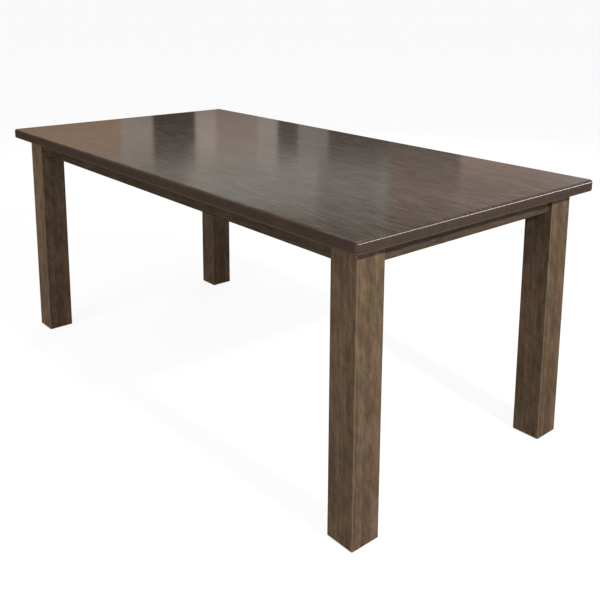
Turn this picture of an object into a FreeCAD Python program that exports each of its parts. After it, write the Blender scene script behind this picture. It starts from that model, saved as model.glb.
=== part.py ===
import FreeCAD, Part
import os
from math import cos, pi, sin
import Sketcher

# Dining table: a thick top of glued boards on an apron frame, with four square legs bolted into its corners.
# Length runs along X, width along Y and height along Z. The origin is on the floor under the middle.

# Driving sizes in millimetres
SIZES = {
    "top_length": 1829,
    "top_width": 914,
    "table_height": 762,
    "top_thickness": 32,
    "top_overhang": 44.5,
    "board_count": 7,
    "corner_radius": 13,
    "edge_radius": 6,
    "leg_side": 86,
    "leg_arris": 3,
    "leg_bevel": 22,
    "foot_chamfer": 1.5,
    "apron_depth": 50,
    "apron_thickness": 22,
    "apron_inset": 10,
    "apron_arris": 2,
    "kerf_width": 3,
    "kerf_depth": 10,
    "kerf_drop": 10,
    "block_thickness": 25,
    "block_gap": 4,
    "block_margin": 3,
    "bolt_diameter": 8,
    "bolt_spacing": 22,
    "bolt_neck": 7,
    "bolt_tail": 6,
    "bolt_play": 1,
    "washer_diameter": 16,
    "washer_thickness": 1.6,
    "nut_across": 13,
    "nut_height": 6.5,
    "thread_play": 0.2,
    "screw_diameter": 4.2,
    "screw_head": 8.4,
    "screw_head_height": 3,
    "pilot_play": 0.2,
    "block_screw_grip": 12,
    "block_screw_bite": 16,
    "block_screw_spacing": 18,
    "head_recess": 10,
    "brace_offset": 280,
    "brace_thickness": 32,
    "brace_depth": 45,
    "brace_housing": 8,
    "brace_recess_depth": 25,
    "brace_recess": 12,
    "slot_length": 10,
    "slot_width": 5,
    "top_screw_bite": 18,
    "clip_pitch": 420,
    "clip_width": 20,
    "clip_gauge": 2,
    "clip_bend": 1.5,
    "clip_tongue": 9,
    "clip_stand": 3,
    "clip_flange": 21,
    "clip_hole": 15,
    "clip_play": 0.7,
    "glide_diameter": 24,
    "glide_height": 4,
    "glide_round": 1,
    "glide_nail": 2.4,
    "glide_nail_length": 16,
    "drill_margin": 1,
    "cut_margin": 2,
}

# Places worked out from the driving sizes
UNDERSIDE = "(Sizes.table_height - Sizes.top_thickness)"
LEG_LENGTH = f"({UNDERSIDE} - Sizes.glide_height)"
LEG_X = "(Sizes.top_length / 2 - Sizes.top_overhang - Sizes.leg_side / 2)"
LEG_Y = "(Sizes.top_width / 2 - Sizes.top_overhang - Sizes.leg_side / 2)"
LONG_SPAN = f"(2 * {LEG_X} - Sizes.leg_side)"
SHORT_SPAN = f"(2 * {LEG_Y} - Sizes.leg_side)"
BOARD_WIDTH = "(Sizes.top_width / Sizes.board_count)"
PILOT = "(Sizes.screw_diameter + Sizes.pilot_play)"
BOLT_BORE = "(Sizes.bolt_diameter + Sizes.thread_play)"

# Inner faces of the aprons, from the leg's centre and from the middle of the table
APRON_FACE = "(Sizes.apron_inset + Sizes.apron_thickness - Sizes.leg_side / 2)"
LONG_FACE = f"({LEG_Y} - {APRON_FACE})"
SHORT_FACE = f"({LEG_X} - {APRON_FACE})"

# Corner block, from the leg's centre: the leg's bevel and the block's two faces across the corner
BEVEL_REACH = "((Sizes.leg_side - Sizes.leg_bevel) / sqrt(2))"
BLOCK_REACH = f"({BEVEL_REACH} + Sizes.block_gap)"
BLOCK_NEAR = f"({BLOCK_REACH} * sqrt(2))"
BLOCK_FAR = f"({BLOCK_NEAR} + Sizes.block_thickness * sqrt(2))"
BLOCK_HEIGHT = "(Sizes.apron_depth - 2 * Sizes.block_margin)"
BLOCK_SCREW = f"(({BLOCK_NEAR} + {BLOCK_FAR}) / 2 - {APRON_FACE})"
BLOCK_SEAT = f"({APRON_FACE} + Sizes.block_screw_grip)"

# Each corner: its sign along X and Y, and the turn that points the leg's inner corner at the middle
CORNERS = {
    "front_left": (-1, -1, 0),
    "front_right": (1, -1, 90),
    "rear_right": (1, 1, 180),
    "rear_left": (-1, 1, 270),
}

# Small round hardware repeats often, so it and its holes have a few flats instead of a full circle
SHANK_FLATS = 8
HEAD_FLATS = 10
WASHER_FLATS = 12
NUT_FLATS = 6
GLIDE_FLATS = 24

UP = FreeCAD.Vector(0, 0, 1)
TOLERANCE = 0.01

doc = FreeCAD.newDocument("dining_table")
sheet = doc.addObject("Spreadsheet::Sheet", "Sizes")
for row, (alias, size) in enumerate(SIZES.items(), 1):
    sheet.set(f"A{row}", alias)
    sheet.set(f"B{row}", str(size))
    sheet.setAlias(f"B{row}", alias)
doc.recompute()


def value(expression):
    """Number that an expression on the sheet gives."""
    return float(sheet.evalExpression(expression))


# Sketches

def sketch_on(body, name, role, lift="0"):
    """Empty sketch on one of the body's origin planes, lifted along the plane's normal."""
    sketch = body.newObject("Sketcher::SketchObject", name)
    plane = next(feature for feature in body.Origin.OriginFeatures if feature.Role == role)
    sketch.AttachmentSupport = (plane, [""])
    sketch.MapMode = "FlatFace"
    sketch.setExpression("AttachmentOffset.Base.z", lift)
    return sketch


def sketch_across_corner(body, name):
    """Empty sketch on the upright plane through the leg's centre that faces its inner corner."""
    sketch = sketch_on(body, name, "YZ_Plane")
    turn = FreeCAD.Rotation(FreeCAD.Vector(0, 1, 0), 45)
    sketch.AttachmentOffset = FreeCAD.Placement(FreeCAD.Vector(), turn)
    return sketch


def fix_point(sketch, geometry, point, x, y):
    """Ties one point of a sketch to two expressions."""
    for kind, axis, expression in (("DistanceX", -2, x), ("DistanceY", -1, y)):
        if expression == "0":
            sketch.addConstraint(Sketcher.Constraint("PointOnObject", geometry, point, axis))
        else:
            rule = sketch.addConstraint(Sketcher.Constraint(kind, -1, 1, geometry, point, value(expression)))
            sketch.setExpression(f"Constraints[{rule}]", expression)


def add_outline(sketch, corners):
    """Closed run of straight lines through corners given as pairs of expressions."""
    spots = [FreeCAD.Vector(value(x), value(y), 0) for x, y in corners]
    lines = [sketch.addGeometry(Part.LineSegment(a, b)) for a, b in zip(spots, spots[1:] + spots[:1])]
    for line, following in zip(lines, lines[1:] + lines[:1]):
        sketch.addConstraint(Sketcher.Constraint("Coincident", line, 2, following, 1))
    for line, (x, y) in zip(lines, corners):
        fix_point(sketch, line, 1, x, y)


def add_rectangle(sketch, width, height, x="0", y="0"):
    """Rectangle about a centre, all four given as expressions."""
    left, right = f"{x} - {width} / 2", f"{x} + {width} / 2"
    low, high = f"{y} - {height} / 2", f"{y} + {height} / 2"
    add_outline(sketch, [(left, low), (right, low), (right, high), (left, high)])


def add_polygon(sketch, sides, diameter, x="0", y="0", stretch="0"):
    """Regular polygon in a circle of a given diameter. A stretch parts its halves along Y, for a slot."""
    corners = []
    for number in range(sides):
        angle = 2 * pi * (number + 0.5) / sides
        side = "+" if sin(angle) > 0 else "-"
        corners.append((f"{x} + {diameter} / 2 * ({cos(angle):.6f})",
                        f"{y} + {diameter} / 2 * ({sin(angle):.6f}) {side} {stretch}"))
    add_outline(sketch, corners)


# Features

def pad(body, sketch, length, symmetric=False):
    """Solid pushed out of a sketch, to one side or evenly to both."""
    feature = body.newObject("PartDesign::Pad", f"{sketch.Name}_pad")
    feature.Profile = sketch
    feature.SideType = "Symmetric" if symmetric else "One side"
    feature.setExpression("Length", length)
    doc.recompute()


def pocket(body, sketch, depth, along_normal):
    """Cut from a sketch, along its normal or against it. A cut that misses the piece is an error."""
    before = body.Shape.Volume
    feature = body.newObject("PartDesign::Pocket", f"{sketch.Name}_cut")
    feature.Profile = sketch
    feature.Reversed = along_normal
    feature.setExpression("Length", depth)
    doc.recompute()
    if body.Shape.Volume > before - TOLERANCE:
        raise RuntimeError(f"{body.Label}: {sketch.Name} cuts nothing")


def ease_edges(body, kind, size, wanted):
    """Fillet or chamfer on every edge of the piece that a test picks."""
    base = body.Tip
    names = [f"Edge{number}" for number, edge in enumerate(body.Shape.Edges, 1) if wanted(edge.BoundBox)]
    feature = body.newObject(f"PartDesign::{kind}", f"{body.Name}_{kind.lower()}")
    feature.Base = (base, names)
    feature.setExpression("Radius" if kind == "Fillet" else "Size", size)
    doc.recompute()


def is_upright(box):
    return box.XLength < TOLERANCE and box.YLength < TOLERANCE


def is_level(box):
    return box.ZLength < TOLERANCE


def new_body(label):
    body = doc.addObject("PartDesign::Body", label)
    body.Label = label
    return body


def put(piece, x, y, z, turn=0):
    """Places a finished piece by expressions, after a turn about Z in degrees."""
    piece.Placement = FreeCAD.Placement(FreeCAD.Vector(), FreeCAD.Rotation(UP, turn))
    for axis, expression in zip("xyz", (x, y, z)):
        piece.setExpression(f"Placement.Base.{axis}", expression)
    return piece


# Top: boards glued edge to edge, so that only the rim of the whole top is rounded

def board_middle(number):
    """Place of a board's centre line across the table."""
    return f"({BOARD_WIDTH} * ({number} - (Sizes.board_count + 1) / 2))"


def top_board(number, holes):
    """One board of the top. The first and the last carry the rounded corners and the long edge."""
    body = new_body(f"top_board_{number}")
    outline = sketch_on(body, f"board_outline_{number}", "XY_Plane")
    add_rectangle(outline, "Sizes.top_length", BOARD_WIDTH)
    pad(body, outline, "Sizes.top_thickness")
    outer = {1: -1, SIZES["board_count"]: 1}.get(number, 0)
    half = value(BOARD_WIDTH) / 2
    if outer:
        ease_edges(body, "Fillet", "Sizes.corner_radius",
                   lambda box: is_upright(box) and box.YMin * outer > 0)
    ease_edges(body, "Fillet", "Sizes.edge_radius",
               lambda box: is_level(box) and (box.YLength > TOLERANCE or box.YMin * outer > half - TOLERANCE))
    if holes:
        pilots = sketch_on(body, f"board_pilots_{number}", "XY_Plane")
        for x, y in holes:
            add_polygon(pilots, SHANK_FLATS, PILOT, x, f"{y} - {board_middle(number)}")
        pocket(body, pilots, "Sizes.top_screw_bite + Sizes.drill_margin", along_normal=True)
    return put(body, "0", board_middle(number), UNDERSIDE)


# Legs: square posts, bevelled at the inner corner behind the apron and bored for two hanger bolts

def leg(corner):
    body = new_body(f"leg_{corner}")
    section = sketch_on(body, f"section_{corner}", "XY_Plane")
    add_rectangle(section, "Sizes.leg_side", "Sizes.leg_side")
    pad(body, section, LEG_LENGTH)
    ease_edges(body, "Fillet", "Sizes.leg_arris", is_upright)
    ease_edges(body, "Chamfer", "Sizes.foot_chamfer", lambda box: box.ZMax < TOLERANCE)
    bevel = sketch_on(body, f"bevel_{corner}", "XY_Plane", LEG_LENGTH)
    outside = "Sizes.leg_side / 2 + Sizes.cut_margin"
    inside = "Sizes.leg_side / 2 - Sizes.leg_bevel - Sizes.cut_margin"
    add_outline(bevel, [(outside, inside), (outside, outside), (inside, outside)])
    pocket(body, bevel, "Sizes.apron_depth", along_normal=False)
    bores = sketch_across_corner(body, f"bolt_bores_{corner}")
    for side in ("-", "+"):
        level = f"{LEG_LENGTH} - Sizes.apron_depth / 2 {side} Sizes.bolt_spacing / 2"
        add_polygon(bores, SHANK_FLATS, BOLT_BORE, "0", level)
    pocket(body, bores, "Sizes.leg_side", along_normal=True)
    nail_hole = sketch_on(body, f"nail_hole_{corner}", "XY_Plane")
    add_polygon(nail_hole, SHANK_FLATS, "(Sizes.glide_nail + Sizes.pilot_play)")
    pocket(body, nail_hole, "Sizes.glide_nail_length + Sizes.drill_margin", along_normal=True)
    sign_x, sign_y, turn = CORNERS[corner]
    return put(body, f"{sign_x} * {LEG_X}", f"{sign_y} * {LEG_Y}", "Sizes.glide_height", turn)


# Aprons: a saw kerf along the inner face takes the clips, and the long ones house the cross braces

def apron(side, span, x, y, turn, housed):
    body = new_body(f"apron_{side}")
    section = sketch_on(body, f"apron_section_{side}", "YZ_Plane")
    inner = "Sizes.apron_thickness"
    kerf_top = "Sizes.apron_depth - Sizes.kerf_drop"
    kerf_low = f"{kerf_top} - Sizes.kerf_width"
    kerf_end = f"{inner} - Sizes.kerf_depth"
    add_outline(section, [("0", "0"), (inner, "0"), (inner, kerf_low), (kerf_end, kerf_low),
                          (kerf_end, kerf_top), (inner, kerf_top), (inner, "Sizes.apron_depth"),
                          ("0", "Sizes.apron_depth")])
    pad(body, section, span, symmetric=True)
    ease_edges(body, "Fillet", "Sizes.apron_arris",
               lambda box: box.ZMax < TOLERANCE and box.XLength > box.YLength)
    pilots = sketch_on(body, f"apron_pilots_{side}", "XZ_Plane", f"-{inner}")
    reach = f"{span} / 2 - ({BLOCK_SCREW} - Sizes.leg_side / 2)"
    for end in ("-", ""):
        for level in ("-", "+"):
            add_polygon(pilots, SHANK_FLATS, PILOT, f"{end}({reach})",
                        f"Sizes.apron_depth / 2 {level} Sizes.block_screw_spacing / 2")
    pocket(body, pilots, "Sizes.block_screw_bite + Sizes.drill_margin", along_normal=True)
    if housed:
        housings = sketch_on(body, f"housings_{side}", "XZ_Plane", f"-{inner}")
        for end in ("-", ""):
            left = f"{end}Sizes.brace_offset - Sizes.brace_thickness / 2"
            right = f"{end}Sizes.brace_offset + Sizes.brace_thickness / 2"
            low = "Sizes.apron_depth - Sizes.brace_depth"
            high = "Sizes.apron_depth + Sizes.cut_margin"
            add_outline(housings, [(left, low), (right, low), (right, high), (left, high)])
        pocket(body, housings, "Sizes.brace_housing", along_normal=True)
    return put(body, x, y, f"{UNDERSIDE} - Sizes.apron_depth", turn)


# Corner blocks: mitred to lie against both aprons, with the leg's bolts through the middle

def corner_block(corner):
    body = new_body(f"corner_block_{corner}")
    outline = sketch_on(body, f"block_outline_{corner}", "XY_Plane")
    near, far = f"{BLOCK_NEAR} - {APRON_FACE}", f"{BLOCK_FAR} - {APRON_FACE}"
    add_outline(outline, [(near, APRON_FACE), (far, APRON_FACE), (APRON_FACE, far), (APRON_FACE, near)])
    pad(body, outline, BLOCK_HEIGHT)
    through = f"{BLOCK_FAR} - {APRON_FACE}"
    bores = sketch_across_corner(body, f"block_bores_{corner}")
    for level in ("-", "+"):
        add_polygon(bores, SHANK_FLATS, "(Sizes.bolt_diameter + Sizes.bolt_play)",
                    "0", f"{BLOCK_HEIGHT} / 2 {level} Sizes.bolt_spacing / 2")
    pocket(body, bores, through, along_normal=True)
    stages = (("pilots", PILOT, APRON_FACE), ("recesses", "Sizes.head_recess", BLOCK_SEAT))
    for name, diameter, start in stages:
        for role, sign, along_normal in (("XZ_Plane", "-", False), ("YZ_Plane", "", True)):
            holes = sketch_on(body, f"block_{name}_{role[:2]}_{corner}", role, f"{sign}{start}")
            for level in ("-", "+"):
                add_polygon(holes, SHANK_FLATS, diameter, BLOCK_SCREW,
                            f"{BLOCK_HEIGHT} / 2 {level} Sizes.block_screw_spacing / 2")
            pocket(body, holes, through, along_normal)
    sign_x, sign_y, turn = CORNERS[corner]
    level = f"{UNDERSIDE} - Sizes.apron_depth + Sizes.block_margin"
    return put(body, f"{sign_x} * {LEG_X}", f"{sign_y} * {LEG_Y}", level, turn)


# Cross braces: sunk screws in slots let the top swell and shrink across its width

def cross_brace(side, sign, screw_places):
    body = new_body(f"cross_brace_{side}")
    outline = sketch_on(body, f"brace_outline_{side}", "XY_Plane")
    length = f"(2 * ({LONG_FACE} + Sizes.brace_housing))"
    add_rectangle(outline, "Sizes.brace_thickness", length)
    pad(body, outline, "Sizes.brace_depth")
    recesses = sketch_on(body, f"brace_recesses_{side}", "XY_Plane")
    slots = sketch_on(body, f"brace_slots_{side}", "XY_Plane", "Sizes.brace_recess_depth")
    slot_stretch = "(Sizes.slot_length - Sizes.slot_width) / 2"
    for place in screw_places:
        add_polygon(recesses, HEAD_FLATS, "Sizes.brace_recess", "0", place)
        add_polygon(slots, SHANK_FLATS, "Sizes.slot_width", "0", place, slot_stretch)
    pocket(body, recesses, "Sizes.brace_recess_depth", along_normal=True)
    pocket(body, slots, "Sizes.brace_depth", along_normal=True)
    return put(body, f"{sign} * Sizes.brace_offset", "0", f"{UNDERSIDE} - Sizes.brace_depth")


# Hardware: one pattern piece of each kind, copied to every place that needs it

def stacked_piece(label, stages):
    """Piece built up along its own Z axis from sections: number of flats, diameter and length of each."""
    body = new_body(label)
    level = "0"
    for number, (flats, diameter, length) in enumerate(stages, 1):
        section = sketch_on(body, f"{label}_section_{number}", "XY_Plane", level)
        add_polygon(section, flats, diameter)
        pad(body, section, length)
        level = f"{level} + {length}"
    return body


def hanger_bolt():
    """Bolt with a wood-thread end in the leg, a plain neck in the gap and a nut's thread at the other end."""
    nut_end = "(Sizes.block_thickness + Sizes.washer_thickness + Sizes.nut_height + Sizes.bolt_tail)"
    return stacked_piece("hanger_bolt_pattern", [
        (SHANK_FLATS, "Sizes.bolt_diameter", BEVEL_REACH),
        (SHANK_FLATS, "Sizes.bolt_neck", "Sizes.block_gap"),
        (SHANK_FLATS, "Sizes.bolt_diameter", nut_end)])


def wood_screw(label, length):
    """Flat-seated wood screw, head down and point up."""
    return stacked_piece(label, [
        (HEAD_FLATS, "Sizes.screw_head", "Sizes.screw_head_height"),
        (SHANK_FLATS, "Sizes.screw_diameter", length)])


def ring(label, flats, diameter, height):
    """Washer or nut: a polygon with the bolt's bore through it."""
    body = new_body(label)
    sketch = sketch_on(body, f"{label}_outline", "XY_Plane")
    add_polygon(sketch, flats, diameter)
    add_polygon(sketch, SHANK_FLATS, BOLT_BORE)
    pad(body, sketch, height)
    return body


def top_clip():
    """Bent steel clip: a tongue for the apron's kerf, an upright and a flange screwed under the top."""
    body = new_body("clip_pattern")
    sketch = sketch_on(body, "clip_profile", "XZ_Plane")
    gauge, stand = "Sizes.clip_gauge", "Sizes.clip_stand"
    far = f"{stand} + Sizes.clip_flange"
    tongue_top = "-(Sizes.kerf_drop + Sizes.clip_play)"
    tongue_low = f"{tongue_top} - {gauge}"
    add_outline(sketch, [
        ("-Sizes.clip_tongue", tongue_top), (stand, tongue_top), (stand, "0"), (far, "0"), (far, f"-{gauge}"),
        (f"{stand} + {gauge}", f"-{gauge}"), (f"{stand} + {gauge}", tongue_low),
        ("-Sizes.clip_tongue", tongue_low)])
    pad(body, sketch, "Sizes.clip_width", symmetric=True)
    bends = ((value(stand), 0.0), (value(f"{stand} + {gauge}"), value(tongue_low)))

    def is_bend(box):
        return box.YLength > value(gauge) and any(
            abs(box.XMin - x) < TOLERANCE and abs(box.ZMin - z) < TOLERANCE
            and box.XLength < TOLERANCE and is_level(box) for x, z in bends)

    ease_edges(body, "Chamfer", "Sizes.clip_bend", is_bend)
    hole = sketch_on(body, "clip_screw_hole", "XY_Plane")
    add_polygon(hole, SHANK_FLATS, PILOT, "Sizes.clip_hole")
    pocket(body, hole, gauge, along_normal=False)
    return body


# Glides: hard feet nailed under the legs

def glide(corner):
    body = new_body(f"glide_{corner}")
    foot = sketch_on(body, f"foot_{corner}", "XY_Plane")
    add_polygon(foot, GLIDE_FLATS, "Sizes.glide_diameter")
    pad(body, foot, "Sizes.glide_height")
    ease_edges(body, "Chamfer", "Sizes.glide_round", lambda box: box.ZMax < TOLERANCE)
    nail = sketch_on(body, f"nail_{corner}", "XY_Plane", "Sizes.glide_height")
    add_polygon(nail, SHANK_FLATS, "Sizes.glide_nail")
    pad(body, nail, "Sizes.glide_nail_length")
    sign_x, sign_y, turn = CORNERS[corner]
    return put(body, f"{sign_x} * {LEG_X}", f"{sign_y} * {LEG_Y}", "0", turn)


def copies(label, pattern, placements):
    """One sub-part made of separate copies of a pattern piece."""
    links = []
    for number, placement in enumerate(placements, 1):
        link = doc.addObject("App::Link", f"{label}_{number}")
        link.LinkedObject = pattern
        link.Placement = placement
        links.append(link)
    group = doc.addObject("Part::Compound", label)
    group.Label = label
    group.Links = links
    doc.recompute()
    return group


def at(x, y, z, direction=UP):
    """Placement at a point given by expressions, with the piece's Z axis along a direction."""
    return FreeCAD.Placement(FreeCAD.Vector(value(x), value(y), value(z)), FreeCAD.Rotation(UP, direction))


def at_corners(places):
    """The same places, given about a leg's centre, at all four corners."""
    for sign_x, sign_y, turn in CORNERS.values():
        middle = FreeCAD.Vector(sign_x * value(LEG_X), sign_y * value(LEG_Y), 0)
        corner = FreeCAD.Placement(middle, FreeCAD.Rotation(UP, turn))
        for place in places:
            yield corner.multiply(place)


# Places of the screws that hold the top: along the long aprons, at the short aprons and in the braces
long_clip_places = [f"{step} * Sizes.clip_pitch" for step in (-1.5, -0.5, 0.5, 1.5)]
short_clip_places = [board_middle(number) for number in (3, 5)]
brace_screw_places = [board_middle(number) for number in (2, 3, 5, 6)]
clip_screw_y = f"({LONG_FACE} - Sizes.clip_hole)"
clip_screw_x = f"({SHORT_FACE} - Sizes.clip_hole)"

clip_screws = [(x, f"{sign} * {clip_screw_y}") for sign in (-1, 1) for x in long_clip_places]
clip_screws += [(f"{sign} * {clip_screw_x}", y) for sign in (-1, 1) for y in short_clip_places]
brace_screws = [(f"{sign} * Sizes.brace_offset", y) for sign in (-1, 1) for y in brace_screw_places]


def holes_of_board(number):
    """The top's screw places that fall on one board."""
    middle, half = value(board_middle(number)), value(BOARD_WIDTH) / 2
    return [(x, y) for x, y in clip_screws + brace_screws if abs(value(y) - middle) < half]


# The table
pieces = [top_board(number, holes_of_board(number)) for number in range(1, SIZES["board_count"] + 1)]
pieces += [leg(corner) for corner in CORNERS]

apron_y = f"({LEG_Y} + Sizes.leg_side / 2 - Sizes.apron_inset)"
apron_x = f"({LEG_X} + Sizes.leg_side / 2 - Sizes.apron_inset)"
pieces.append(apron("front", LONG_SPAN, "0", f"-{apron_y}", 0, housed=True))
pieces.append(apron("right", SHORT_SPAN, apron_x, "0", 90, housed=False))
pieces.append(apron("rear", LONG_SPAN, "0", apron_y, 180, housed=True))
pieces.append(apron("left", SHORT_SPAN, f"-{apron_x}", "0", 270, housed=False))

pieces += [corner_block(corner) for corner in CORNERS]
pieces.append(cross_brace("left", -1, brace_screw_places))
pieces.append(cross_brace("right", 1, brace_screw_places))
pieces += [glide(corner) for corner in CORNERS]

# Leg bolts: two levels at each corner, along the diagonal from the leg's centre
diagonal = FreeCAD.Vector(1, 1, 0)
frame_middle = f"({UNDERSIDE} - Sizes.apron_depth / 2)"
bolt_levels = [f"{frame_middle} {side} Sizes.bolt_spacing / 2" for side in ("-", "+")]


def along_diagonal(reach):
    """Places on both bolt axes of a corner, a given way out from the leg's centre."""
    step = f"({reach}) / sqrt(2)"
    return [at(step, step, level, diagonal) for level in bolt_levels]


washer = ring("washer_pattern", WASHER_FLATS, "Sizes.washer_diameter", "Sizes.washer_thickness")
hex_nut = ring("nut_pattern", NUT_FLATS, "(Sizes.nut_across * 2 / sqrt(3))", "Sizes.nut_height")
block_back = f"{BLOCK_REACH} + Sizes.block_thickness"
pieces.append(copies("hanger_bolts", hanger_bolt(), at_corners(along_diagonal("0"))))
pieces.append(copies("bolt_washers", washer, at_corners(along_diagonal(block_back))))
nut_reach = f"{block_back} + Sizes.washer_thickness"
pieces.append(copies("hex_nuts", hex_nut, at_corners(along_diagonal(nut_reach))))

# Screws from each corner block into its two aprons
block_screw_back = f"{BLOCK_SEAT} + Sizes.screw_head_height"
block_screw_levels = [f"{frame_middle} {side} Sizes.block_screw_spacing / 2" for side in ("-", "+")]
block_screw_places = []
for level in block_screw_levels:
    block_screw_places.append(at(BLOCK_SCREW, block_screw_back, level, FreeCAD.Vector(0, -1, 0)))
    block_screw_places.append(at(block_screw_back, BLOCK_SCREW, level, FreeCAD.Vector(-1, 0, 0)))
block_screw = wood_screw("block_screw_pattern", "(Sizes.block_screw_grip + Sizes.block_screw_bite)")
pieces.append(copies("corner_block_screws", block_screw, at_corners(block_screw_places)))

# Screws from the braces into the top
brace_screw = wood_screw(
    "brace_screw_pattern", "(Sizes.brace_depth - Sizes.brace_recess_depth + Sizes.top_screw_bite)")
brace_screw_level = f"{UNDERSIDE} - Sizes.brace_depth + Sizes.brace_recess_depth - Sizes.screw_head_height"
pieces.append(copies("brace_screws", brace_screw, [at(x, y, brace_screw_level) for x, y in brace_screws]))

# Clips with their screws: each flange points from its apron to the middle of the table
clip_screw = wood_screw("clip_screw_pattern", "(Sizes.clip_gauge + Sizes.top_screw_bite)")
clip_screw_level = f"{UNDERSIDE} - Sizes.clip_gauge - Sizes.screw_head_height"
clip_spots = [(x, f"{sign} * {LONG_FACE}", -90 * sign) for sign in (-1, 1) for x in long_clip_places]
clip_spots += [(f"-1 * {SHORT_FACE}", y, 0) for y in short_clip_places]
clip_spots += [(SHORT_FACE, y, 180) for y in short_clip_places]
clip_placements = []
for x, y, turn in clip_spots:
    spot = FreeCAD.Vector(value(x), value(y), value(UNDERSIDE))
    clip_placements.append(FreeCAD.Placement(spot, FreeCAD.Rotation(UP, turn)))
pieces.append(copies("top_clips", top_clip(), clip_placements))
pieces.append(copies("clip_screws", clip_screw, [at(x, y, clip_screw_level) for x, y in clip_screws]))

# Every object is sound before any file is written
doc.recompute()
for thing in doc.Objects:
    if "Invalid" in thing.State or "Error" in thing.State:
        raise RuntimeError(f"{thing.Label} failed: {thing.State}")
for piece in pieces:
    if piece.Shape.isNull() or not piece.Shape.isValid():
        raise RuntimeError(f"{piece.Label} has no sound shape")

os.makedirs("parts", exist_ok=True)
for piece in pieces:
    piece.Shape.exportStep(f"parts/{piece.Label}.step")
    print(f"{piece.Label}: {len(piece.Shape.Solids)} solids, {piece.Shape.Volume / 1000:.1f} cm3")
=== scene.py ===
from math import atan2, copysign, cos, pi, radians, tan
import bmesh
import bpy
from mathutils import Matrix, Vector


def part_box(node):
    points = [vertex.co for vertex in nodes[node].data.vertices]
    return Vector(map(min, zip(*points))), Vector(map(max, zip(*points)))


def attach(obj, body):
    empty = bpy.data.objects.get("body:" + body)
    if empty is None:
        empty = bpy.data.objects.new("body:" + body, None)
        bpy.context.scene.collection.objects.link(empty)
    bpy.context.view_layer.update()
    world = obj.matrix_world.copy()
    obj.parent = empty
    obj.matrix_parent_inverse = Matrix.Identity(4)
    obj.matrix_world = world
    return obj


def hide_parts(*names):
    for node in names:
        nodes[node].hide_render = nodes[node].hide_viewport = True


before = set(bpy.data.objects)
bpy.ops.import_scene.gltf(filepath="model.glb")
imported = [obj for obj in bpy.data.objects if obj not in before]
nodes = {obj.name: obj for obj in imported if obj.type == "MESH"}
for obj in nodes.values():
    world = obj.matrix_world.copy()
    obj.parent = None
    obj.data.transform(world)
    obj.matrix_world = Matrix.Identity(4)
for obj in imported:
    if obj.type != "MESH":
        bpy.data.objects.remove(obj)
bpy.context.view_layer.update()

# Aprons: maple rails set back from the legs' outer faces. They are sawn, planed and stained grey-brown
# before the frame is screwed together, so the stain sits in the wood under a thin satin lacquer.
RAIL_STAIN = ("#4B3B2E", "#705C48", "#88735F", "#7A5947", "#6B5E45")
# Painted shade: the aprons are drawn at this share of their stain's lightness, for the shade they stand in
# under the top's overhang
RAIL_PAINTED_SHADE = 0.6
RAIL_RINGS = 0.011
RAIL_CURL = 0.012
SATIN = (0.36, 0.50)
SATIN_MIRROR = 0.25
SINGLE_BOARD = (-2.0, 2.0)
TABLE_MIDDLE = (0.0, 0.0, 0.0)
ALONG_LENGTH = (0.0, 0.0, 0.0)
ALONG_WIDTH = (0.0, 0.0, radians(90))
# Length, width and depth of what shows in the wood, with the grain along the length
RING_DRIFT = (0.6, 0.09, 0.09)
SWAY = (0.11, 0.05, 0.05)
FIBRE = (0.045, 0.0036, 0.0036)
FLECK = (0.022, 0.0024, 0.0024)
STREAK = (0.08, 0.012, 0.012)
CLOUD = (0.09, 0.032, 0.032)
# How far apart the places are that glued boards are cut from, and how far the heart of the tree wanders
BOARD_SHIFT = (7.0, 5.0, 3.0)
HEART_DRIFT = (0.0, 0.05, 0.05)
HEART_SHIFT = (0.0, 0.09, 0.05)
HEART_PLACE = (0.0, -0.06, 0.03)
HEART_SLOPE = (0.0, radians(1.6), 0.0)
# Spacing of a wave texture's rings at a scale of 1
WAVE_SPACING = 0.314
# Lightness of the darkest and of the palest board
BOARD_TONES = (0.88, 1.1)
PORE_DEPTH = 0.0006
LACQUER_IOR = 1.5


def linear(code):
    """Linear colour of an sRGB hex value."""
    parts = [int(code[start:start + 2], 16) / 255 for start in (1, 3, 5)]
    return [part / 12.92 if part <= 0.04045 else ((part + 0.055) / 1.055) ** 2.4 for part in parts] + [1.0]


def add(tree, kind, settings=(), inputs=()):
    """Adds a node. Settings are its own options, inputs are constants or the outputs of other nodes."""
    made = tree.nodes.new(f"ShaderNode{kind}")
    for name, value in dict(settings).items():
        setattr(made, name, value)
    for name, value in dict(inputs).items():
        if isinstance(value, bpy.types.NodeSocket):
            tree.links.new(value, made.inputs[name])
        else:
            made.inputs[name].default_value = value
    return made


def new_material(name):
    """Empty material and its node tree."""
    material = bpy.data.materials.new(name)
    material.use_nodes = True
    material.node_tree.nodes.clear()
    return material, material.node_tree


def blotches(tree, place, size, detail):
    """Uneven pattern whose blots have the given size in metres along each axis."""
    scaled = add(tree, "Mapping", {}, {"Vector": place, "Scale": [1 / side for side in size]}).outputs[0]
    return add(tree, "TexNoise", {}, {"Vector": scaled, "Scale": 1.0, "Detail": detail}).outputs


def tinted(tree, pattern, low, high, most, under, over):
    """Lays one colour over another where a pattern rises from low to high, at most by the share most."""
    share = add(tree, "MapRange", {"interpolation_type": "SMOOTHSTEP"},
                {"Value": pattern, "From Min": low, "From Max": high, "To Min": 0.0,
                 "To Max": most}).outputs[0]
    return add(tree, "MixRGB", {}, {"Fac": share, "Color1": under, "Color2": over}).outputs[0]


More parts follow.
